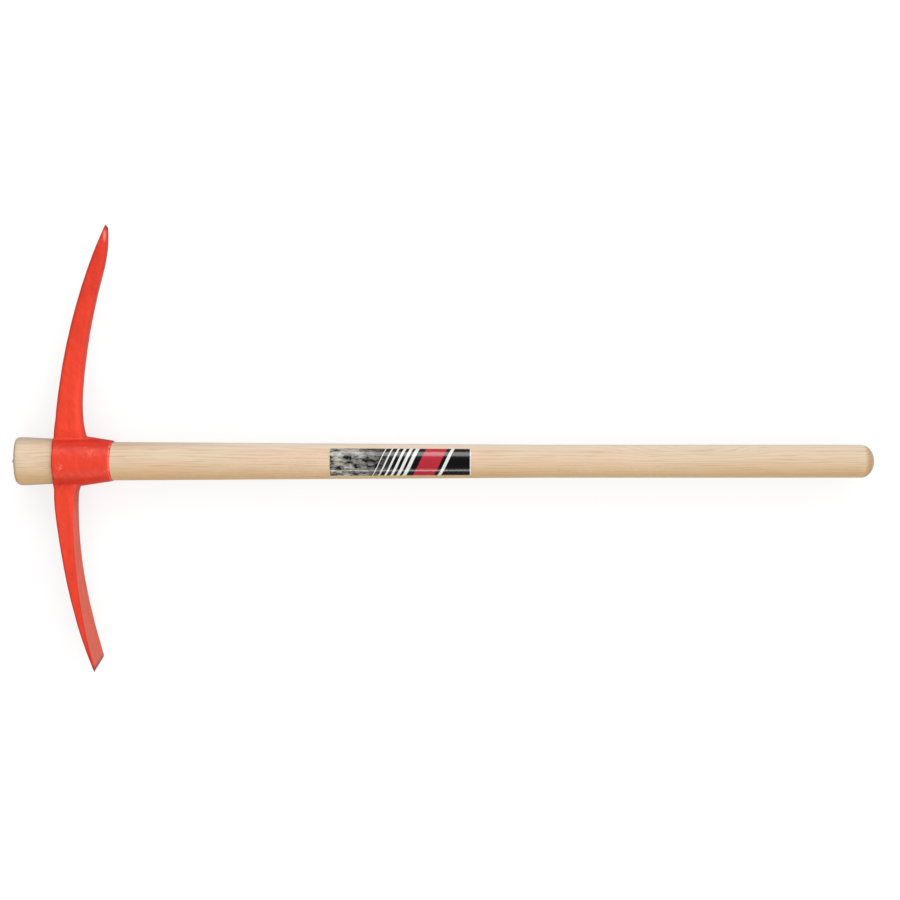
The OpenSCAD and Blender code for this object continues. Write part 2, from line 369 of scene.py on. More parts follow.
def new_material(name):
    """An empty node material and its tree."""
    material = bpy.data.materials.new(name)
    material.use_nodes = True
    material.node_tree.nodes.clear()
    return material, material.node_tree


def per_size(*sizes):
    """Scale of a pattern from its size along each axis, in millimetres."""
    return tuple(1 / (size * MM) for size in sizes)


# Ash


def stem_depth(tree, h, spot, wander, ripple):
    """How far a place lies outside the growth ring through the handle's axis, in metres.

    The stave was split from a stem whose pith lay 80 mm away, on the chisel's side.
    """
    bent = add(tree, "Math", {0: wander, 1: 0.5}, operation="SUBTRACT")
    bent = add(tree, "Math", {0: bent, 1: 9 * MM}, operation="MULTIPLY")
    bent = add(tree, "Math", {0: bent, 1: ripple}, operation="ADD")
    # The rings dip by up to 8 mm round a knot that grew nearby
    apart = add(tree, "SeparateXYZ", {0: spot})
    knot = add(tree, "Math", {0: apart.outputs[0], 1: h.knot_x}, operation="SUBTRACT")
    knot = add(tree, "Math", {0: knot, 1: 1 / h.knot_l}, operation="MULTIPLY")
    knot = add(tree, "Math", {0: knot, 1: 2.0}, operation="POWER")
    knot = add(tree, "Math", {0: knot, 1: -1.0}, operation="MULTIPLY")
    knot = add(tree, "Math", {0: knot}, operation="EXPONENT")
    upper = {0: apart.outputs[1], 1: -4 * MM, 2: 16 * MM, 4: 8 * MM}
    upper = add(tree, "MapRange", upper, interpolation_type="SMOOTHSTEP")
    dip = add(tree, "Math", {0: knot, 1: upper}, operation="MULTIPLY")
    stem = add(tree, "Mapping", {0: spot, "Location": (0, 78 * MM, 17 * MM), "Scale": (0, 1, 1)})
    out = add(tree, "VectorMath", {0: stem}, operation="LENGTH")
    depth = add(tree, "Math", {0: out, 1: 80 * MM}, operation="SUBTRACT")
    depth = add(tree, "Math", {0: depth, 1: bent}, operation="ADD")
    return add(tree, "Math", {0: depth, 1: dip}, operation="ADD")


def growth_lines(tree, h, depth, fibre, ripple):
    """Strength of the dark lines of early wood, which the fibres and the ripple break up."""
    ring = add(tree, "Math", {0: depth, 1: 1 / h.ring}, operation="MULTIPLY")
    # Good and bad years make the rings wide and narrow
    years = add(tree, "TexNoise", {"W": ring, "Scale": 0.31, "Detail": 1.0}, noise_dimensions="1D")
    years = add(tree, "MapRange", {0: years, 3: -1.1, 4: 1.1})
    ring = add(tree, "Math", {0: ring, 1: years}, operation="ADD")
    within = add(tree, "Math", {0: ring}, operation="FRACT")
    none, full = [(v, v, v, 1.0) for v in (0.0, 1.0)]
    lines = add(tree, "ValToRGB", {0: within}, stops=[(0.0, full), (1.0, full), (0.36, none), (0.86, none)])
    fibrous = add(tree, "MapRange", {0: fibre, 1: 0.3, 2: 0.75, 3: 0.2, 4: 0.85})
    broken = add(tree, "MapRange", {0: ripple, 1: -0.5 * MM, 2: 0.5 * MM, 3: 0.4})
    lines = add(tree, "Math", {0: lines, 1: fibrous}, operation="MULTIPLY")
    return add(tree, "Math", {0: lines, 1: broken}, operation="MULTIPLY")


def late_wood(tree, h, spot, depth):
    """Colour between the lines: pinkish in patches about 120 mm long, and golden towards the chisel's side.
    """
    broad = add(tree, "Mapping", {0: spot, "Scale": per_size(120, 22, 22)})
    patch = add(tree, "TexNoise", {"Vector": broad, "Scale": 1.0, "Detail": 2.0})
    blush = add(tree, "MapRange", {0: patch, 1: 0.40, 2: 0.64, 4: 0.85})
    tint = add(tree, "Mix", {0: blush, 6: tuple(h.late), 7: tuple(h.blush)}, data_type="RGBA")
    # The wood turns golden towards the chisel's side of the handle
    golden_side = {0: depth, 1: 15 * MM, 2: -14 * MM, 4: 0.9}
    golden_side = add(tree, "MapRange", golden_side, interpolation_type="SMOOTHSTEP")
    return add(tree, "Mix", {0: golden_side, 6: tint, 7: tuple(h.golden)}, data_type="RGBA")


def ray_flecks(tree, h, spot, wander, colour):
    """Adds pale dashes 4 mm long, which stand across the grain in some patches."""
    across = {0: spot, "Rotation": (0, 0, math.radians(58)), "Scale": per_size(4, 1.1, 3)}
    across = add(tree, "Mapping", across)
    dashes = add(tree, "TexNoise", {"Vector": across, "Scale": 1.0, "Detail": 1.0})
    dashes = add(tree, "MapRange", {0: dashes, 1: 0.5, 2: 0.66, 4: 0.2})
    patches = add(tree, "MapRange", {0: wander, 1: 0.5, 2: 0.6})
    flecks = add(tree, "Math", {0: dashes, 1: patches}, operation="MULTIPLY")
    return add(tree, "Mix", {0: flecks, 6: colour, 7: tuple(h.flecks)}, data_type="RGBA")


def sheen_on_flanks(tree, h, spot, facing, colour):
    """Lightens the upper and lower flanks with a painted sheen, stronger on the upper side.

    Ahead of the head and close behind it, the flanks take a darker grey-brown instead of the sheen.
    """
    # Painted sheen on the flanks that face the point's side and the chisel's side
    upper_flank = add(tree, "MapRange", {0: facing.outputs[1], 1: 0.7, 2: 0.97, 4: 0.6})
    lower_flank = add(tree, "MapRange", {0: facing.outputs[1], 1: -0.88, 2: -0.98, 4: 0.2})
    flank = add(tree, "Math", {0: upper_flank, 1: lower_flank}, operation="MAXIMUM")
    along = add(tree, "SeparateXYZ", {0: spot})
    away_from_head = add(tree, "MapRange", {0: along.outputs[0], 1: 60 * MM, 2: 200 * MM})
    pale = add(tree, "Mix", {0: away_from_head, 6: tuple(h.flanks_by_head), 7: tuple(h.pale)}, data_type="RGBA")
    return add(tree, "Mix", {0: flank, 6: colour, 7: pale}, data_type="RGBA")


def dark_ends(tree, h, facing, lines, colour):
    """Darkens both ends, where the end grain drank the wax, most along the lines."""
    butt = add(tree, "MapRange", {0: facing.outputs[0], 1: 0.04, 2: 0.45})
    front = add(tree, "MapRange", {0: facing.outputs[0], 1: -0.35, 2: -0.85, 4: 0.9})
    end = add(tree, "Math", {0: butt, 1: front}, operation="MAXIMUM")
    soaked = add(tree, "MapRange", {0: lines, 3: 0.6, 4: 0.95})
    soaked = add(tree, "Math", {0: end, 1: soaked}, operation="MULTIPLY")
    return add(tree, "Mix", {0: soaked, 6: colour, 7: tuple(h.end_grain)}, data_type="RGBA")


def ash(h):
    """Ash, turned, sanded and waxed: straight growth rings, each with a row of fine open pores.

    To the eye that is a pale matt surface with fine lengthwise lines, warmer on one side of the stem.
    """
    material, tree = new_material("sanded_ash")
    place = add(tree, "TexCoord")
    spot = place.outputs["Object"]
    facing = add(tree, "SeparateXYZ", {0: place.outputs["Normal"]})
    # The grain wanders by a few millimetres over a hand's length
    slow = add(tree, "Mapping", {0: spot, "Scale": per_size(190, 70, 70)})
    wander = add(tree, "TexNoise", {"Vector": slow, "Scale": 1.0, "Detail": 2.0, "Roughness": 0.4})
    # A short ripple makes the lines uneven
    short = add(tree, "Mapping", {0: spot, "Scale": per_size(60, 5, 5)})
    ripple = add(tree, "TexNoise", {"Vector": short, "Scale": 1.0, "Detail": 2.0})
    ripple = add(tree, "MapRange", {0: ripple, 3: -1.5 * MM, 4: 1.5 * MM})
    # Fibres and pores: 40 mm long and about 1 mm across, drawn wider than the real 0.3 mm so that they show
    fine = add(tree, "Mapping", {0: spot, "Scale": per_size(40, 1.1, 1.1)})
    fibre = add(tree, "TexNoise", {"Vector": fine, "Scale": 1.0, "Detail": 3.0, "Roughness": 0.6})
    pores = add(tree, "MapRange", {0: fibre, 1: 0.5, 2: 0.72, 4: 0.3})
    depth = stem_depth(tree, h, spot, wander, ripple)
    lines = growth_lines(tree, h, depth, fibre, ripple)
    colour = late_wood(tree, h, spot, depth)
    colour = add(tree, "Mix", {0: lines, 6: colour, 7: tuple(h.early)}, data_type="RGBA")
    colour = add(tree, "Mix", {0: pores, 6: colour, 7: tuple(h.pores)}, data_type="RGBA")
    colour = ray_flecks(tree, h, spot, wander, colour)
    colour = sheen_on_flanks(tree, h, spot, facing, colour)
    looks = {
        "Base Color": dark_ends(tree, h, facing, lines, colour),
        "Roughness": add(tree, "MapRange", {0: fibre, 1: 0.3, 2: 0.7, 3: 0.5, 4: 0.66}),
        "Normal": add(tree, "Bump", {"Height": fibre, "Strength": 0.25, "Distance": 0.2 * MM}),
        "IOR": 1.5,
        "Specular IOR Level": 0.4,
        "Sheen Weight": 0.7,
        "Sheen Roughness": 0.35,
    }
    add(tree, "OutputMaterial", {"Surface": add(tree, "BsdfPrincipled", looks)})
    return material


# Enamel

# Painted shade on the socket's upper and lower sides and in a line along the point arm's crease: start, full
# depth and crease in mm from the axis towards the point, and strength
SOCKET_SHADES = ((13, 20, 24.5, 0.5), (22, 24, 24.7, 0.6), (-12, -19, -23.5, 0.5))
# Painted glints, drawn as patches of crossing scratches: middle and radius in mm, two on the socket and two
# at the chisel's root
GLINTS = (
    ((30.8, 12.0, 22.9), 5.5),
    ((-3.4, -2.3, 27.0), 5.5),
    ((-4.9, -26.8, 18.0), 4.0),
    ((10.4, -26.8, 18.0), 4.0),
)
# Middle in mm of a painted highlight streak beside the tip
TIP_HIGHLIGHT = (47.9, 247, 5)


def coat_colour(tree, h, y, facing, streak):
    """Colour of the coat, deeper red in random streaks, towards the ends of the arms and on the socket.

    The inner face of the chisel arm gets a pale painted sheen.
    """
    deep = add(tree, "MapRange", {0: streak, 1: 0.36, 2: 0.66, 4: 0.45})
    off = add(tree, "Math", {0: y}, operation="ABSOLUTE")
    # Deeper red towards the ends of the arms and on the socket
    at_ends = add(tree, "MapRange", {0: off, 1: 70 * MM, 2: 240 * MM, 4: 0.75})
    on_socket = add(tree, "MapRange", {0: off, 1: 24 * MM, 2: 30 * MM, 3: 0.26, 4: 0.0})
    deep = add(tree, "Math", {0: deep, 1: at_ends}, operation="ADD")
    deep = add(tree, "Math", {0: deep, 1: on_socket}, operation="ADD", use_clamp=True)
    colour = add(tree, "Mix", {0: deep, 6: tuple(h.enamel), 7: tuple(h.deep_enamel)}, data_type="RGBA")
    # Painted sheen on the inner face of the chisel arm
    inner_face = add(tree, "MapRange", {0: facing.outputs[0], 1: 0.82, 2: 0.94, 4: 0.42})
    on_chisel = add(tree, "MapRange", {0: y, 1: -24 * MM, 2: -60 * MM})
    sheen_share = add(tree, "Math", {0: inner_face, 1: on_chisel}, operation="MULTIPLY")
    return add(tree, "Mix", {0: sheen_share, 6: colour, 7: tuple(h.inner_face_sheen)}, data_type="RGBA")


def socket_shade(tree, h, y, colour):
    """Paints shade on the socket's upper and lower sides, most in a line at the crease of the point arm."""
    for start, full, crease, strength in SOCKET_SHADES:
        shade_share = {0: y, 1: start * MM, 2: full * MM, 4: strength}
        shade_share = add(tree, "MapRange", shade_share, interpolation_type="SMOOTHSTEP")
        short = add(tree, "MapRange", {0: y, 1: crease * MM, 2: 1.04 * crease * MM, 3: 1.0, 4: 0.0})
        shade_share = add(tree, "Math", {0: shade_share, 1: short}, operation="MULTIPLY")
        colour = add(tree, "Mix", {0: shade_share, 6: colour, 7: tuple(h.painted_shade_enamel)}, data_type="RGBA")
    return colour


def rim_highlight(tree, h, spot, ragged):
    """Where a painted highlight lies on the rim at the back of the eye."""
    apart = add(tree, "SeparateXYZ", {0: spot})
    rim = {0: apart.outputs[0], 1: h.eye_back_x - 2.4 * MM, 2: h.eye_back_x - 1.4 * MM}
    rim = add(tree, "MapRange", rim)
    # Patches of the ragged noise break up the painted highlight on the rim
    worn = add(tree, "MapRange", {0: ragged, 1: 0.44, 2: 0.6, 3: 0.1, 4: 0.9})
    rim = add(tree, "Math", {0: rim, 1: worn}, operation="MULTIPLY")
    on_socket = add(tree, "Math", {0: apart.outputs[1], 1: 0.0, 2: h.lip_r}, operation="COMPARE")
    return add(tree, "Math", {0: rim, 1: on_socket}, operation="MULTIPLY")


def painted_highlights(tree, h, spot, ragged, colour):
    """Paints highlights on a streak 14 mm long beside the tip, on the rim of the eye and in small glints of
    crossing scratches.
    """
    along = add(tree, "VectorMath", {0: spot, 1: Vector(TIP_HIGHLIGHT) * MM}, operation="SUBTRACT")
    along = {0: along, "Rotation": (0, 0, math.radians(4)), "Scale": per_size(2.6, 9, 9)}
    along = add(tree, "Mapping", along)
    far = add(tree, "VectorMath", {0: along}, operation="LENGTH")
    highlight_share = add(tree, "MapRange", {0: far, 1: 1.0, 2: 0.3, 4: 0.75}, interpolation_type="SMOOTHSTEP")
    rim = rim_highlight(tree, h, spot, ragged)
    highlight_share = add(tree, "Math", {0: highlight_share, 1: rim}, operation="MAXIMUM")
    fine = add(tree, "TexNoise", {"Vector": spot, "Scale": 1 / (1.8 * MM), "Detail": 2.0})
    glint_pattern = add(tree, "MapRange", {0: fine, 1: 0.5, 2: 0.62, 4: 0.7})
    # Painted glints in patches of crossing scratches
    for middle, radius in GLINTS:
        off = add(tree, "VectorMath", {0: spot, 1: Vector(middle) * MM}, operation="DISTANCE")
        near = add(tree, "MapRange", {0: off, 1: radius * MM, 2: 0.4 * radius * MM})
        glint = add(tree, "Math", {0: near, 1: glint_pattern}, operation="MULTIPLY")
        highlight_share = add(tree, "Math", {0: highlight_share, 1: glint}, operation="MAXIMUM")
    return add(tree, "Mix", {0: highlight_share, 6: colour, 7: tuple(h.highlight_enamel)}, data_type="RGBA")


def bare_ends(tree, h, spot, y, ragged, colour):
    """Lets the scale show through thin enamel, over 2 mm at the cut of the tip and 6 mm at the edge."""
    tip = on_arm(h, h.point_l, 0.0, h.point_arc, h.point_lean, 1)
    lean = h.point_lean + h.point_l / h.point_arc + h.tip_slant
    across_cut = (math.sin(lean), math.cos(lean), 0.0)
    past = add(tree, "VectorMath", {0: spot, 1: (*tip, 0.0)}, operation="SUBTRACT")
    past = add(tree, "VectorMath", {0: past, 1: across_cut}, operation="DOT_PRODUCT")
    cut = add(tree, "MapRange", {0: past, 1: -2.6 * MM, 2: -1.4 * MM, 4: 0.85})
    uneven = add(tree, "MapRange", {0: ragged, 1: 0.3, 2: 0.7, 3: -1.5 * MM, 4: 1.5 * MM})
    reach = add(tree, "Math", {0: y, 1: uneven}, operation="ADD")
    edge = add(tree, "MapRange", {0: reach, 1: -224 * MM, 2: -229.5 * MM, 4: 0.8})
    thin = add(tree, "Math", {0: cut, 1: edge}, operation="MAXIMUM")
    return add(tree, "Mix", {0: thin, 6: colour, 7: tuple(h.bare_steel)}, data_type="RGBA")


def bend_shade(tree, h, colour):
    """Paints shade into the creases and onto the sharp corners."""
    bend = add(tree, "NewGeometry").outputs["Pointiness"]
    for start, full, strength in ((0.49, 0.465, 0.7), (0.508, 0.535, 0.6)):
        bent = add(tree, "MapRange", {0: bend, 1: start, 2: full, 4: strength})
        colour = add(tree, "Mix", {0: bent, 6: colour, 7: tuple(h.painted_shade_enamel)}, data_type="RGBA")
    return colour


def enamel_skin(tree, spot):
    """Dents 8 mm across, a few nibs of dust, and orange peel of 3 mm, drawn coarser than the real 1 mm."""
    marks = add(tree, "TexNoise", {"Vector": spot, "Scale": 1 / (8 * MM), "Detail": 2.0})
    peel = add(tree, "TexNoise", {"Vector": spot, "Scale": 1 / (3 * MM), "Detail": 2.0})
    dust = add(tree, "TexVoronoi", {"Vector": spot, "Scale": 1 / (10 * MM)})
    nibs = add(tree, "MapRange", {0: dust.outputs["Distance"], 1: 0.14, 2: 0.0})
    dents = add(tree, "Bump", {"Height": marks, "Strength": 0.7, "Distance": 1.9 * MM})
    dusty = add(tree, "Bump", {"Height": nibs, "Strength": 0.6, "Distance": 0.5 * MM, "Normal": dents})
    return add(tree, "Bump", {"Height": peel, "Strength": 0.4, "Distance": 0.5 * MM, "Normal": dusty})


def enamel(h):
    """Red enamel, dipped over a hammered forging: glossy, with orange peel, deeper streaks and thin places.

    To the eye that is a bright red with soft uneven highlights, painted shade on the socket, in the creases
    and on the corners, painted highlights beside the tip and on the rim, and dark at the ends.
    """
    material, tree = new_material("red_enamel_on_forged_steel")
    place = add(tree, "TexCoord")
    spot = place.outputs["Object"]
    y = add(tree, "SeparateXYZ", {0: spot}).outputs[1]
    facing = add(tree, "SeparateXYZ", {0: place.outputs["Normal"]})
    # Streaks 9 mm wide and 40 mm long, drawn out along the arms
    drawn = add(tree, "Mapping", {0: spot, "Scale": per_size(9, 40, 9)})
    streak = add(tree, "TexNoise", {"Vector": drawn, "Scale": 1.0, "Detail": 3.0, "Roughness": 0.55})
    # Ragged patches of 5 mm, which break up the painted highlight on the rim and the line where the coat runs
    # thin at the edge
    ragged = add(tree, "TexNoise", {"Vector": spot, "Scale": 1 / (5 * MM), "Detail": 2.0})
    colour = coat_colour(tree, h, y, facing, streak)
    colour = socket_shade(tree, h, y, colour)
    colour = painted_highlights(tree, h, spot, ragged, colour)
    colour = bare_ends(tree, h, spot, y, ragged, colour)
    looks = {
        "Base Color": bend_shade(tree, h, colour),
        "Roughness": add(tree, "MapRange", {0: streak, 1: 0.3, 2: 0.7, 3: 0.27, 4: 0.4}),
        "Normal": enamel_skin(tree, spot),
        "IOR": 1.5,
        "Specular IOR Level": 0.28,
    }
    add(tree, "OutputMaterial", {"Surface": add(tree, "BsdfPrincipled", looks)})
    return material


# Vinyl


def printed_bars(tree, v, u, w, colour):
    """Prints bars and one broad band, all slanted alike, the bars thinner towards the speckle."""
    slant = add(tree, "Math", {0: w, 1: 0.1}, operation="MULTIPLY")
    along = add(tree, "Math", {0: u, 1: slant}, operation="SUBTRACT")
    # Middle and half the width of each, as shares of the label's length
    bars = [(0.30 + 0.045 * i, 0.003 + 0.0022 * i, v.rule) for i in range(6)]
    for centre, half, tint in (*bars, (0.66, 0.075, v.band), (0.775, 0.012, v.rule)):
        inside = add(tree, "Math", {0: along, 1: centre, 2: half}, operation="COMPARE")
        colour = add(tree, "Mix", {0: inside, 6: colour, 7: tuple(tint)}, data_type="RGBA")
    return colour


def vinyl(v):
    """Printed vinyl film under gloss varnish: dark, with a grey speckle, plain bars and one slanted band.

    To the eye that is a black strip with sharp reflections of the lamps along it.
    """
    material, tree = new_material("glossy_printed_vinyl")
    place = add(tree, "UVMap")
    apart = add(tree, "SeparateXYZ", {0: place})
    u, w = apart.outputs[0], apart.outputs[1]
    # Speckle 12 mm long and 6 mm wide, fading out by the middle of the strip
    scale = (v.span / (12 * MM), v.width / (6 * MM), 1.0)
    stretched = add(tree, "Mapping", {0: place, "Rotation": (0, 0, math.radians(-12)), "Scale": scale})
    speckle = add(tree, "TexNoise", {"Vector": stretched, "Scale": 1.0, "Detail": 5.0, "Roughness": 0.72})
    speckle = add(tree, "MapRange", {0: speckle, 1: 0.42, 2: 0.62})
    fade = add(tree, "MapRange", {0: u, 1: 0.05, 2: 0.5, 3: 1.0, 4: 0.0}, interpolation_type="SMOOTHSTEP")
    speckled = add(tree, "Math", {0: speckle, 1: fade}, operation="MULTIPLY")
    colour = add(tree, "Mix", {0: speckled, 6: tuple(v.ground), 7: tuple(v.speckle)}, data_type="RGBA")
    colour = printed_bars(tree, v, u, w, colour)
    # The unprinted film shows as a pale line 1 mm wide at the end
    margin = add(tree, "Math", {0: u, 1: 1.0, 2: 1 * MM / v.span}, operation="COMPARE")
    looks = {
        "Base Color": add(tree, "Mix", {0: margin, 6: colour, 7: tuple(v.rule)}, data_type="RGBA"),
        "Roughness": 0.5,
        "Specular IOR Level": 0.0,
        "Coat Weight": 1.0,
        "Coat Roughness": 0.2,
        "Coat IOR": 2.0,
    }
    add(tree, "OutputMaterial", {"Surface": add(tree, "BsdfPrincipled", looks)})
    return material


# The handle


def handle_profile(h, steps=8):
    """Points of (place, radius) from the stub at the front to the butt."""
    face_r = h.swell_r - h.edge_round
    stub_x = h.front_x - h.dome - h.stub_l
    chamfer = 0.3 * h.stub_r
    points = [
        (stub_x, 0.0),
        (stub_x, h.stub_r - chamfer),
        (stub_x + chamfer, h.stub_r),
        (h.front_x - h.dome - chamfer, h.stub_r),
        (h.front_x - h.dome, h.stub_r + chamfer),
    ]
    for i in range(1, steps + 1):
        r = between(h.stub_r + chamfer, face_r, i / steps)
        points.append((h.front_x - h.dome * (1 - (r / face_r) ** 2), r))
    for i in range(1, steps + 1):
        a = math.pi / 2 * i / steps
        points.append((h.front_x + h.edge_round * (1 - math.cos(a)), face_r + h.edge_round * math.sin(a)))
    stations = [
        (h.front_x + h.swell_l, h.swell_r, 2),
        (h.neck_x, h.neck_r, 10),
        (h.grip_x, h.grip_r, 44),
        (h.grip_end_x, h.grip_r, 32),
    ]
    for to_x, to_r, parts in stations:
        from_x, from_r = points[-1]
        for i in range(1, parts + 1):
            points.append((between(from_x, to_x, i / parts), between(from_r, to_r, i / parts)))
    for i in range(1, 2 * steps + 1):
        a = math.pi / 2 * i / (2 * steps)
        points.append((h.grip_end_x + h.butt_l * math.sin(a), h.grip_r * math.cos(a)))
    return points


class PICKAXE_OT_handle(bpy.types.Operator):
    """Turns the ash handle and puts it in place of the plain one"""

    bl_idname = "pickaxe.handle"
    bl_label = "Turn the handle"

    def execute(self, context):
        values = context.scene.pickaxe_handle
        handle = spun("ash_handle", handle_profile(values))
        self.shape_front(handle, values)
        dress(handle, ash(values))
        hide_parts("handle")
        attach(handle, "handle")
        return {"FINISHED"}

    def shape_front(self, handle, h):
        """Leans the front face and wears its edge above and below, fading out over the swell behind it."""
        worn_from = h.swell_r - 2 * h.edge_round
        for vertex in handle.data.vertices:
            x, y, z = vertex.co
            share = 1 - gone(x, h.front_x + h.edge_round, h.front_x + h.swell_l)
            worn = h.worn_low if y < 0 else h.worn_high
            wear = worn * abs(y / h.swell_r) ** 3 * gone(math.hypot(y, z), worn_from, h.swell_r) ** 2
            vertex.co.x += share * (math.tan(h.front_lean) * z + wear)


# The head


def sweep(s, start, rise, run):
    """Growth of an arm as it runs down to its start, on a quarter of an ellipse."""
    return rise * (1 - math.sqrt(1 - (1 - gone(s, start, start + run)) ** 2))


def socket_start(h, width):
    """Place where the corners of an arm of that width go into the socket."""
    return math.sqrt(h.waist_r**2 - (width / 2 + h.crease_rise) ** 2)


def section(h, s, start, t, w, rise, run, corner):
    """Section of an arm at s along its back: setback, thickness, width and corner radius."""
    setback = h.setback * (1 - gone(s, start, start + h.setback_run)) ** 2
    grown_t = t - setback + sweep(s, start, rise, run)
    grown_w = w + 2 * sweep(s, start, h.crease_rise, h.crease_run)
    return setback, grown_t, grown_w, corner * min(t, w)


def point_section(h, s, start):
    """Section of the point arm at s."""
    tip_s = h.point_l - h.tip_l
    drawn = gone(s, tip_s, h.point_l) ** 3
    t = between(between(h.point_root_t, h.point_neck_t, s / tip_s), h.tip_t, drawn)
    w = between(between(h.point_root_w, h.point_neck_w, s / tip_s), h.tip_t, drawn)
    return section(h, s, start, t, w, h.point_rise, h.point_run, h.point_corner)


def chisel_section(h, s, start):
    """Section of the chisel arm at s, before its bevel is ground."""
    blade_s = h.chisel_l - h.blade_l
    flared = gone(s, blade_s - h.flare_l, blade_s)
    t = between(h.chisel_root_t, h.chisel_end_t, s / (h.chisel_l - h.bevel_l))
    w = between(h.chisel_root_w, h.blade_w, flared * flared * (3 - 2 * flared))
    return section(h, s, start, t, w, h.chisel_rise, h.chisel_run, h.chisel_corner)


def on_arm(h, s, off_back, arc, lean, side):
    """Point in the arms' plane at s along a back and a distance off it.

    Side is 1 for the point and -1 for the chisel.
    """
    turn = lean + s / arc
    x = arc * (math.cos(lean) - math.cos(turn)) - h.arm_back + off_back * math.cos(turn)
    y = arc * (math.sin(turn) - math.sin(lean)) - off_back * math.sin(turn)
    return x, side * y


def arm_stops(h, start, end, buried=3, creased=10):
    """Places along an arm's back: a few inside the socket, close at the crease, and evenly spaced beyond."""
    inside = 0.7 * h.eye_back_r
    near = start + h.crease_run
    stops = [between(inside, start, i / buried) for i in range(buried)]
    stops += [between(start, near, i / creased) for i in range(creased)]
    steps = round((end - near) / h.ring_gap)
    return stops + [between(near, end, i / steps) for i in range(steps + 1)]


def arm_rings(h, make_section, root_w, end, arc, lean, side, corner_steps=5):
    """Rings of points along one arm, each a rectangle with rounded corners."""
    start = socket_start(h, root_w)
    rings = []
    for s in arm_stops(h, start, end):
        setback, t, w, r = make_section(h, s, start)
        ring = []
        for quarter in range(4):
            side_t = 1 if quarter in (0, 3) else -1
            side_w = 1 if quarter in (0, 1) else -1
            for i in range(corner_steps + 1):
                a = math.pi / 2 * (quarter + i / corner_steps)
                off_back = setback + t / 2 + side_t * (t / 2 - r) + r * math.cos(a)
                across = side_w * (w / 2 - r) + r * math.sin(a)
                ring.append((*on_arm(h, s, off_back, arc, lean, side), across))
        rings.append(ring)
    return rings


def socket_profile(h, steps=6):
    """Outer points of (place, radius) of the socket, solid to the axis."""
    points = [(h.eye_front_x, 0.0), (h.eye_front_x, h.barrel_r - h.rim_round)]
    for i in range(1, steps + 1):
        a = math.pi / 2 * i / steps
        x = h.eye_front_x + h.rim_round * (1 - math.cos(a))
        points.append((x, h.barrel_r - h.rim_round * (1 - math.sin(a))))
    points += [
        (h.waist_x, h.waist_r),
        (h.eye_back_x - h.lip_l, h.lip_r),
        (h.eye_back_x, h.eye_back_r + h.lip_t),
        (h.eye_back_x, 0.0),
    ]
    return points


def grind(head, h, start, end, arc, lean, side, skew=0.0):
    """Grinds away what lies left of the line from start to end.

    Each of the two is a place along an arm's back and a distance off it.
    """
    a = Vector((*on_arm(h, *start, arc, lean, side), 0))
    b = Vector((*on_arm(h, *end, arc, lean, side), 0))
    along = (b - a).normalized()
    off = Vector((-along.y, along.x, 0))
    turn = lean + end[0] / arc
    depth = 12 * MM
    frame_of_cut = Matrix((along, off, (0, 0, 1))).transposed()
    skewed = Matrix.Identity(3)
    skewed[0][2] = math.tan(skew) * math.sin(turn)
    skewed[1][2] = math.tan(skew) * math.cos(turn) * side
    size = Matrix.Diagonal(((b - a).length + 2 * depth, depth, 2 * h.blade_w))
    deselect()
    bpy.ops.mesh.primitive_cube_add(size=1)
    wheel = bpy.context.object
    wheel.data.transform((skewed @ frame_of_cut @ size).to_4x4())
    wheel.data.transform(Matrix.Translation((a + b) / 2 + off * depth / 2))
    combine(head, wheel, "DIFFERENCE")


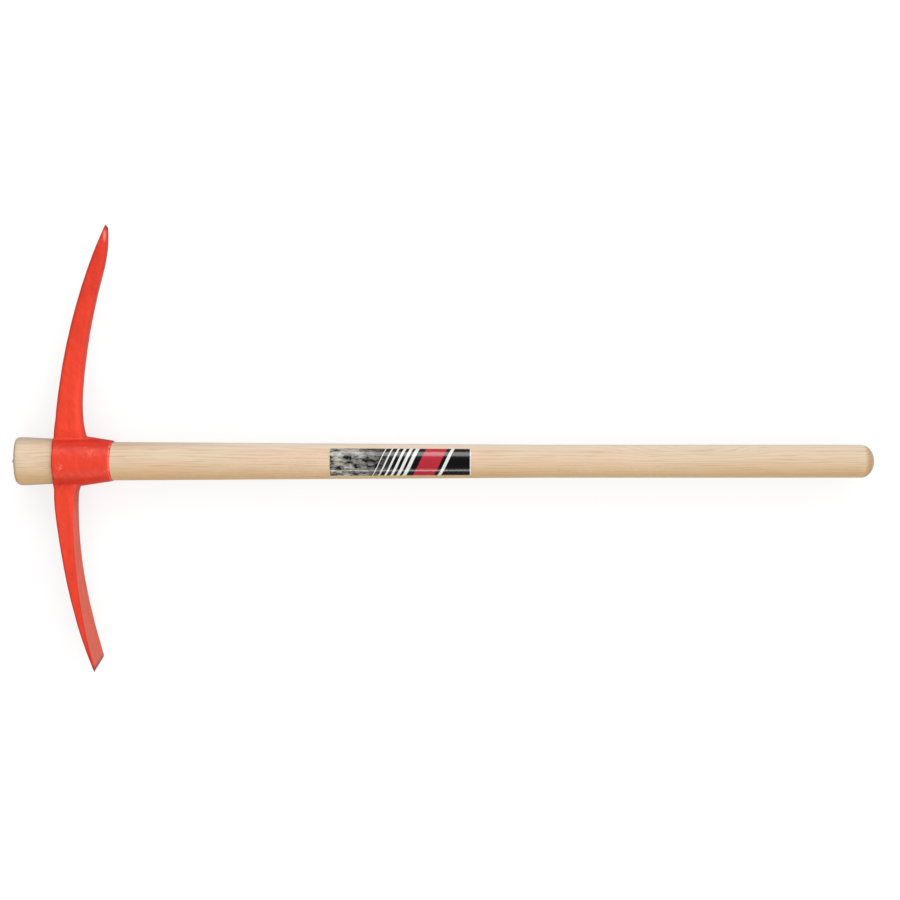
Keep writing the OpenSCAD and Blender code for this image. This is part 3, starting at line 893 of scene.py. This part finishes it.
class PICKAXE_OT_head(bpy.types.Operator):
    """Forges the head from a socket and two drawn-out arms, opens the eye and grinds the edge"""

    bl_idname = "pickaxe.head"
    bl_label = "Forge the head"

    def execute(self, context):
        h = context.scene.pickaxe_head
        head = spun("forged_head", socket_profile(h))
        point_end = h.point_l + h.point_spare
        point = arm_rings(h, point_section, h.point_root_w, point_end, h.point_arc, h.point_lean, 1)
        combine(head, drawn_out("point_arm", point), "UNION")
        chisel_end = h.chisel_l + h.chisel_spare
        chisel = arm_rings(h, chisel_section, h.chisel_root_w, chisel_end, h.chisel_arc, h.chisel_lean, -1)
        combine(head, drawn_out("chisel_arm", chisel), "UNION")
        apply_modifier(head, "REMESH", mode="VOXEL", voxel_size=h.scale_size)
        apply_modifier(head, "SMOOTH", factor=0.5, iterations=4)
        self.reach_forward(head, h)
        self.thicken_wall(head, h)
        self.hammer(head, h)
        self.open_eye(head, h)
        self.grind_ends(head, h)
        dress(head, enamel(h))
        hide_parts("pick_head")
        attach(head, "head")
        return {"FINISHED"}

    def reach_forward(self, head, h):
        """Draws the eye's front face forward where the arms join it, so that it runs out into their backs."""
        for vertex in head.data.vertices:
            x, y, _ = vertex.co
            at_front = 1 - gone(x, h.eye_front_x, h.waist_x)
            aside = gone(abs(y), 0.5 * h.barrel_r, h.barrel_r)
            if y > 0:
                run_out = 1 - gone(y, h.eye_front_r, 2 * h.eye_front_r)
            else:
                run_out = 1 - gone(-y, h.lip_r, h.barrel_r)
            vertex.co.x -= h.front_reach * at_front * aside * run_out

    def thicken_wall(self, head, h):
        """Leaves the socket's wall thicker on the point's side, from the waist to the back rim."""
        for vertex in head.data.vertices:
            x, y, _ = vertex.co
            behind = gone(x, h.eye_front_x, h.waist_x)
            on_socket = gone(y, 0.0, h.lip_r) * (1 - gone(y, h.barrel_r, 2 * h.barrel_r))
            vertex.co.y += h.upper_wall * behind * on_socket

    def hammer(self, head, h):
        """Leaves the soft unevenness of the hammer on the skin."""
        blows = bpy.data.textures.new("hammer_blows", "CLOUDS")
        blows.noise_scale = h.blow
        blows.noise_depth = 1
        apply_modifier(
            head, "DISPLACE", texture=blows, texture_coords="LOCAL", strength=h.hammered, mid_level=0.5
        )

    def open_eye(self, head, h):
        """Cuts the tapered eye right through the socket."""
        deselect()
        over = 10 * MM
        slope = (h.eye_front_r - h.eye_back_r) / (h.eye_back_x - h.eye_front_x)
        bpy.ops.mesh.primitive_cone_add(
            vertices=128,
            radius1=h.eye_front_r + over * slope,
            radius2=h.eye_back_r - over * slope,
            depth=h.eye_back_x - h.eye_front_x + 2 * over,
            location=((h.eye_front_x + h.eye_back_x) / 2, 0, 0),
            rotation=(0, math.pi / 2, 0),
        )
        drift = bpy.context.object
        bpy.ops.object.transform_apply(location=True, rotation=True, scale=True)
        combine(head, drift, "DIFFERENCE")

    def grind_ends(self, head, h):
        """Cuts the tip on a slant, grinds the bevel on the inner side of the chisel and trims its end."""
        cut_back = h.tip_t * math.tan(h.tip_slant)
        tip, inner_tip = (h.point_l, 0.0), (h.point_l - cut_back, h.tip_t)
        grind(head, h, tip, inner_tip, h.point_arc, h.point_lean, 1)
        chisel = h.chisel_arc, h.chisel_lean, -1, h.edge_skew
        bevel, edge = (h.chisel_l - h.bevel_l, h.chisel_end_t), (h.chisel_l, h.edge_t)
        grind(head, h, bevel, edge, *chisel)
        grind(head, h, (h.chisel_l, h.chisel_end_t), (h.chisel_l, 0.0), *chisel)


# The label


class PICKAXE_OT_label(bpy.types.Operator):
    """Cuts the vinyl label and wraps it onto the handle"""

    bl_idname = "pickaxe.label"
    bl_label = "Stick on the label"

    def execute(self, context):
        v = context.scene.pickaxe_label
        h = context.scene.pickaxe_handle
        deselect()
        bpy.ops.mesh.primitive_grid_add(x_subdivisions=48, y_subdivisions=24, size=1)
        label = bpy.context.object
        label.name = "vinyl_label"
        first_r = self.seat(h, v, v.start_x)
        for vertex in label.data.vertices:
            x = v.start_x + (vertex.co.x + 0.5) * v.span
            turn = (vertex.co.y * v.width + v.aside) / first_r
            r = self.seat(h, v, x)
            vertex.co = (x, r * math.sin(turn), r * math.cos(turn))
        apply_modifier(label, "SOLIDIFY", thickness=v.film, offset=1.0)
        dress(label, vinyl(v))
        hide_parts("label")
        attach(label, "handle")
        return {"FINISHED"}

    def seat(self, h, v, x):
        """Radius of the label's inner side at x."""
        return between(h.neck_r, h.grip_r, gone(x, h.neck_x, h.grip_x)) + v.gap


# The stage


def seen_straight(tree, path):
    """1 for light that goes straight to the eye, also through something clear, and 0 for all other light."""
    straight = {0: path.outputs["Is Camera Ray"], 1: path.outputs["Is Transmission Ray"]}
    return add(tree, "Math", straight, operation="MAXIMUM")


class PICKAXE_OT_stage(bpy.types.Operator):
    """Sets up the floor, the softboxes, the even studio light and the camera"""

    bl_idname = "pickaxe.stage"
    bl_label = "Set the stage"

    def execute(self, context):
        v = context.scene.pickaxe_stage
        target = Vector((v.target_x, v.target_y, 0))
        self.lay_floor(v)
        self.light_sky(context.scene, v)
        self.hang_softbox("upper_softbox", v, target, v.softbox_lean, v.upper_w, v.upper_power)
        self.hang_softbox("lower_softbox", v, target, -v.softbox_lean, v.lower_w, v.lower_power)
        self.aim_camera(context.scene, v, target)
        context.scene.view_settings.view_transform = "Standard"
        return {"FINISHED"}

    def lay_floor(self, v):
        """A matt white floor that looks white to the eye and keeps a soft shadow."""
        deselect()
        bpy.ops.mesh.primitive_plane_add(size=v.floor_size, location=(v.floor_x, 0, FLOOR_Z))
        floor = bpy.context.object
        floor.name = "studio_floor"
        material, tree = new_material("matt_white_paper")
        paper = add(tree, "BsdfDiffuse", {"Color": tuple(v.paper)})
        path = add(tree, "LightPath")
        mirrored = {0: path.outputs["Is Glossy Ray"], 1: v.mirrored_lift}
        lift = add(tree, "Math", mirrored, operation="MULTIPLY")
        lift = add(tree, "MapRange", {0: seen_straight(tree, path), 3: lift, 4: v.floor_lift})
        glow = add(tree, "Emission", {"Color": (1, 1, 1, 1), "Strength": lift})
        both = add(tree, "AddShader", {0: paper, 1: glow})
        add(tree, "OutputMaterial", {"Surface": both})
        floor.data.materials.append(material)

    def light_sky(self, scene, v):
        """Light from all round, stronger from beyond the grip, and white where it is seen."""
        world = bpy.data.worlds.new("studio")
        scene.world = world
        world.use_nodes = True
        tree = world.node_tree
        tree.nodes.clear()
        path = add(tree, "LightPath")
        place = add(tree, "TexCoord")
        apart = add(tree, "SeparateXYZ", {0: place.outputs["Generated"]})
        even = add(tree, "MapRange", {0: apart.outputs[0], 1: -1.0, 3: v.head_sky, 4: v.grip_sky})
        flagged = add(tree, "MapRange", {0: path.outputs["Is Glossy Ray"], 3: even, 4: v.flags})
        strength = add(tree, "MapRange", {0: seen_straight(tree, path), 3: flagged})
        sky = add(tree, "Background", {"Color": (1, 1, 1, 1), "Strength": strength})
        add(tree, "OutputWorld", {"Surface": sky})

    def hang_softbox(self, name, v, target, lean, width, power):
        """A long softbox along the handle, leaning towards one side of the view."""
        deselect()
        off = Vector((0, math.sin(lean), math.cos(lean)))
        bpy.ops.object.light_add(type="AREA", location=target + off * v.softbox_off)
        lamp = bpy.context.object
        lamp.name = name
        lamp.rotation_euler = off.to_track_quat("Z", "Y").to_euler()
        lamp.data.shape = "RECTANGLE"
        lamp.data.size = v.softbox_l
        lamp.data.size_y = width
        lamp.data.energy = power

    def aim_camera(self, scene, v, target):
        """The camera looks down on the tool with the point up in the view."""
        deselect()
        back = Vector((0, math.sin(v.tilt), math.cos(v.tilt)))
        up = Vector((0, math.cos(v.tilt), -math.sin(v.tilt)))
        bpy.ops.object.camera_add()
        camera = bpy.context.object
        turn = Matrix(((1, 0, 0), up, back)).transposed().to_4x4()
        camera.matrix_world = Matrix.Translation(target + back * v.distance) @ turn
        camera.data.sensor_width = 36
        camera.data.lens = camera.data.sensor_width * v.distance / v.frame_width
        scene.camera = camera


class PICKAXE_PT_panel(bpy.types.Panel):
    """The pick axe's pieces, one button each, above their values"""

    bl_idname = "PICKAXE_PT_panel"
    bl_label = "Pick axe"
    bl_space_type = "VIEW_3D"
    bl_region_type = "UI"
    bl_category = "Pick axe"

    def draw(self, context):
        for name in PIECES:
            box = self.layout.box()
            box.operator(f"pickaxe.{name}")
            values = getattr(context.scene, f"pickaxe_{name}")
            for key in values.bl_rna.properties.keys():
                if key not in ("rna_type", "name"):
                    box.prop(values, key)


PIECES = {"handle": HandleValues, "head": HeadValues, "label": LabelValues, "stage": StageValues}
CLASSES = (
    *PIECES.values(),
    PICKAXE_OT_handle,
    PICKAXE_OT_head,
    PICKAXE_OT_label,
    PICKAXE_OT_stage,
    PICKAXE_PT_panel,
)


def register():
    for cls in CLASSES:
        bpy.utils.register_class(cls)
    for name, values in PIECES.items():
        setattr(bpy.types.Scene, f"pickaxe_{name}", bpy.props.PointerProperty(type=values))


def unregister():
    for name in PIECES:
        delattr(bpy.types.Scene, f"pickaxe_{name}")
    for cls in reversed(CLASSES):
        bpy.utils.unregister_class(cls)


def main():
    register()
    bpy.ops.pickaxe.handle()
    bpy.ops.pickaxe.head()
    bpy.ops.pickaxe.label()
    bpy.ops.pickaxe.stage()


if __name__ == "__main__":
    main()
